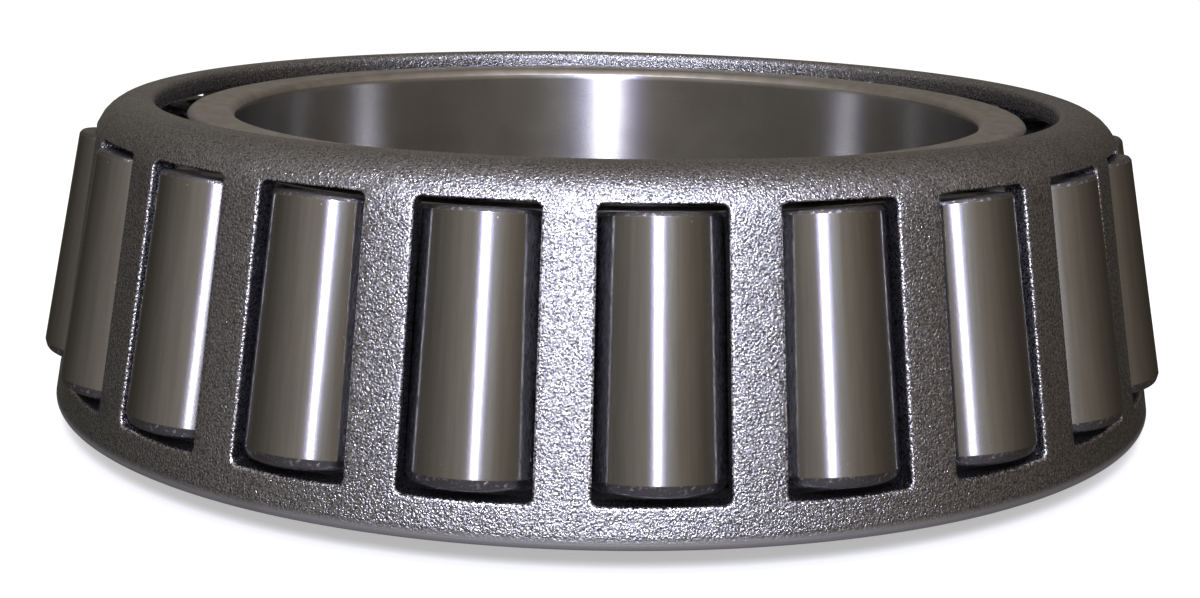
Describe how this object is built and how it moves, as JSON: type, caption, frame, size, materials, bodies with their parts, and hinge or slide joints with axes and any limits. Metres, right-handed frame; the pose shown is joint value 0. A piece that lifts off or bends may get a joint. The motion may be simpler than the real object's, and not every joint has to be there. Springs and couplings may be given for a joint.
{
  "type": "tapered roller bearing",
  "caption": "Tapered roller bearing cone assembly: ground inner ring with raceway and ribs, pressed steel cage with windows, and a row of free-rolling tapered rollers.",
  "frame": {"origin": "centre of the inner ring's back face, the large-end side, on the bearing's axis", "axes": "+Z along the bearing's axis towards the small end of the taper; -Y through the middle of the first roller"},
  "size_m": [0.0756, 0.0764, 0.0215],
  "materials": {
    "ring_steel": "fine ground, satin end faces",
    "cage_steel": "shot-peened matte sheet steel",
    "roller_steel": "fine ground, glossy"
  },
  "bodies": {
    "inner_ring": {"inner_ring": "ring_steel"},
    "cage": {"cage": "cage_steel"},
    "roller_01": {"roller_01": "roller_steel"},
    "roller_02": {"roller_02": "roller_steel"},
    "roller_03": {"roller_03": "roller_steel"},
    "roller_04": {"roller_04": "roller_steel"},
    "roller_05": {"roller_05": "roller_steel"},
    "roller_06": {"roller_06": "roller_steel"},
    "roller_07": {"roller_07": "roller_steel"},
    "roller_08": {"roller_08": "roller_steel"},
    "roller_09": {"roller_09": "roller_steel"},
    "roller_10": {"roller_10": "roller_steel"},
    "roller_11": {"roller_11": "roller_steel"},
    "roller_12": {"roller_12": "roller_steel"},
    "roller_13": {"roller_13": "roller_steel"},
    "roller_14": {"roller_14": "roller_steel"},
    "roller_15": {"roller_15": "roller_steel"},
    "roller_16": {"roller_16": "roller_steel"},
    "roller_17": {"roller_17": "roller_steel"},
    "roller_18": {"roller_18": "roller_steel"},
    "roller_19": {"roller_19": "roller_steel"},
    "roller_20": {"roller_20": "roller_steel"},
    "roller_21": {"roller_21": "roller_steel"},
    "roller_22": {"roller_22": "roller_steel"}
  },
  "joints": [
    {"name": "cage_spin", "type": "hinge", "parent": "inner_ring", "child": "cage", "pos_m": [0, 0, 0], "axis": [0, 0, 1], "continuous": true},
    {"name": "roller_01_spin", "type": "hinge", "parent": "cage", "child": "roller_01", "pos_m": [0, -0.03459, 0.004], "axis": [0, 0.1762, 0.9843], "continuous": true},
    {"name": "roller_02_spin", "type": "hinge", "parent": "cage", "child": "roller_02", "pos_m": [0.00974, -0.03319, 0.004], "axis": [-0.0496, 0.1691, 0.9843], "continuous": true},
    {"name": "roller_03_spin", "type": "hinge", "parent": "cage", "child": "roller_03", "pos_m": [0.0187, -0.0291, 0.004], "axis": [-0.0953, 0.1483, 0.9843], "continuous": true},
    {"name": "roller_04_spin", "type": "hinge", "parent": "cage", "child": "roller_04", "pos_m": [0.02614, -0.02265, 0.004], "axis": [-0.1332, 0.1154, 0.9843], "continuous": true},
    {"name": "roller_05_spin", "type": "hinge", "parent": "cage", "child": "roller_05", "pos_m": [0.03146, -0.01437, 0.004], "axis": [-0.1603, 0.0732, 0.9843], "continuous": true},
    {"name": "roller_06_spin", "type": "hinge", "parent": "cage", "child": "roller_06", "pos_m": [0.03424, -0.00492, 0.004], "axis": [-0.1744, 0.0251, 0.9843], "continuous": true},
    {"name": "roller_07_spin", "type": "hinge", "parent": "cage", "child": "roller_07", "pos_m": [0.03424, 0.00492, 0.004], "axis": [-0.1744, -0.0251, 0.9843], "continuous": true},
    {"name": "roller_08_spin", "type": "hinge", "parent": "cage", "child": "roller_08", "pos_m": [0.03146, 0.01437, 0.004], "axis": [-0.1603, -0.0732, 0.9843], "continuous": true},
    {"name": "roller_09_spin", "type": "hinge", "parent": "cage", "child": "roller_09", "pos_m": [0.02614, 0.02265, 0.004], "axis": [-0.1332, -0.1154, 0.9843], "continuous": true},
    {"name": "roller_10_spin", "type": "hinge", "parent": "cage", "child": "roller_10", "pos_m": [0.0187, 0.0291, 0.004], "axis": [-0.0953, -0.1483, 0.9843], "continuous": true},
    {"name": "roller_11_spin", "type": "hinge", "parent": "cage", "child": "roller_11", "pos_m": [0.00974, 0.03319, 0.004], "axis": [-0.0496, -0.1691, 0.9843], "continuous": true},
    {"name": "roller_12_spin", "type": "hinge", "parent": "cage", "child": "roller_12", "pos_m": [0, 0.03459, 0.004], "axis": [0, -0.1762, 0.9843], "continuous": true},
    {"name": "roller_13_spin", "type": "hinge", "parent": "cage", "child": "roller_13", "pos_m": [-0.00974, 0.03319, 0.004], "axis": [0.0496, -0.1691, 0.9843], "continuous": true},
    {"name": "roller_14_spin", "type": "hinge", "parent": "cage", "child": "roller_14", "pos_m": [-0.0187, 0.0291, 0.004], "axis": [0.0953, -0.1483, 0.9843], "continuous": true},
    {"name": "roller_15_spin", "type": "hinge", "parent": "cage", "child": "roller_15", "pos_m": [-0.02614, 0.02265, 0.004], "axis": [0.1332, -0.1154, 0.9843], "continuous": true},
    {"name": "roller_16_spin", "type": "hinge", "parent": "cage", "child": "roller_16", "pos_m": [-0.03146, 0.01437, 0.004], "axis": [0.1603, -0.0732, 0.9843], "continuous": true},
    {"name": "roller_17_spin", "type": "hinge", "parent": "cage", "child": "roller_17", "pos_m": [-0.03424, 0.00492, 0.004], "axis": [0.1744, -0.0251, 0.9843], "continuous": true},
    {"name": "roller_18_spin", "type": "hinge", "parent": "cage", "child": "roller_18", "pos_m": [-0.03424, -0.00492, 0.004], "axis": [0.1744, 0.0251, 0.9843], "continuous": true},
    {"name": "roller_19_spin", "type": "hinge", "parent": "cage", "child": "roller_19", "pos_m": [-0.03146, -0.01437, 0.004], "axis": [0.1603, 0.0732, 0.9843], "continuous": true},
    {"name": "roller_20_spin", "type": "hinge", "parent": "cage", "child": "roller_20", "pos_m": [-0.02614, -0.02265, 0.004], "axis": [0.1332, 0.1154, 0.9843], "continuous": true},
    {"name": "roller_21_spin", "type": "hinge", "parent": "cage", "child": "roller_21", "pos_m": [-0.0187, -0.0291, 0.004], "axis": [0.0953, 0.1483, 0.9843], "continuous": true},
    {"name": "roller_22_spin", "type": "hinge", "parent": "cage", "child": "roller_22", "pos_m": [-0.00974, -0.03319, 0.004], "axis": [0.0496, 0.1691, 0.9843], "continuous": true}
  ],
  "couplings": [
    {"joint": "roller_01_spin", "follows": "cage_spin", "ratio": 7.9998},
    {"joint": "roller_02_spin", "follows": "cage_spin", "ratio": 7.9998},
    {"joint": "roller_03_spin", "follows": "cage_spin", "ratio": 7.9998},
    {"joint": "roller_04_spin", "follows": "cage_spin", "ratio": 7.9998},
    {"joint": "roller_05_spin", "follows": "cage_spin", "ratio": 7.9998},
    {"joint": "roller_06_spin", "follows": "cage_spin", "ratio": 7.9998},
    {"joint": "roller_07_spin", "follows": "cage_spin", "ratio": 7.9998},
    {"joint": "roller_08_spin", "follows": "cage_spin", "ratio": 7.9998},
    {"joint": "roller_09_spin", "follows": "cage_spin", "ratio": 7.9998},
    {"joint": "roller_10_spin", "follows": "cage_spin", "ratio": 7.9998},
    {"joint": "roller_11_spin", "follows": "cage_spin", "ratio": 7.9998},
    {"joint": "roller_12_spin", "follows": "cage_spin", "ratio": 7.9998},
    {"joint": "roller_13_spin", "follows": "cage_spin", "ratio": 7.9998},
    {"joint": "roller_14_spin", "follows": "cage_spin", "ratio": 7.9998},
    {"joint": "roller_15_spin", "follows": "cage_spin", "ratio": 7.9998},
    {"joint": "roller_16_spin", "follows": "cage_spin", "ratio": 7.9998},
    {"joint": "roller_17_spin", "follows": "cage_spin", "ratio": 7.9998},
    {"joint": "roller_18_spin", "follows": "cage_spin", "ratio": 7.9998},
    {"joint": "roller_19_spin", "follows": "cage_spin", "ratio": 7.9998},
    {"joint": "roller_20_spin", "follows": "cage_spin", "ratio": 7.9998},
    {"joint": "roller_21_spin", "follows": "cage_spin", "ratio": 7.9998},
    {"joint": "roller_22_spin", "follows": "cage_spin", "ratio": 7.9998}
  ]
}
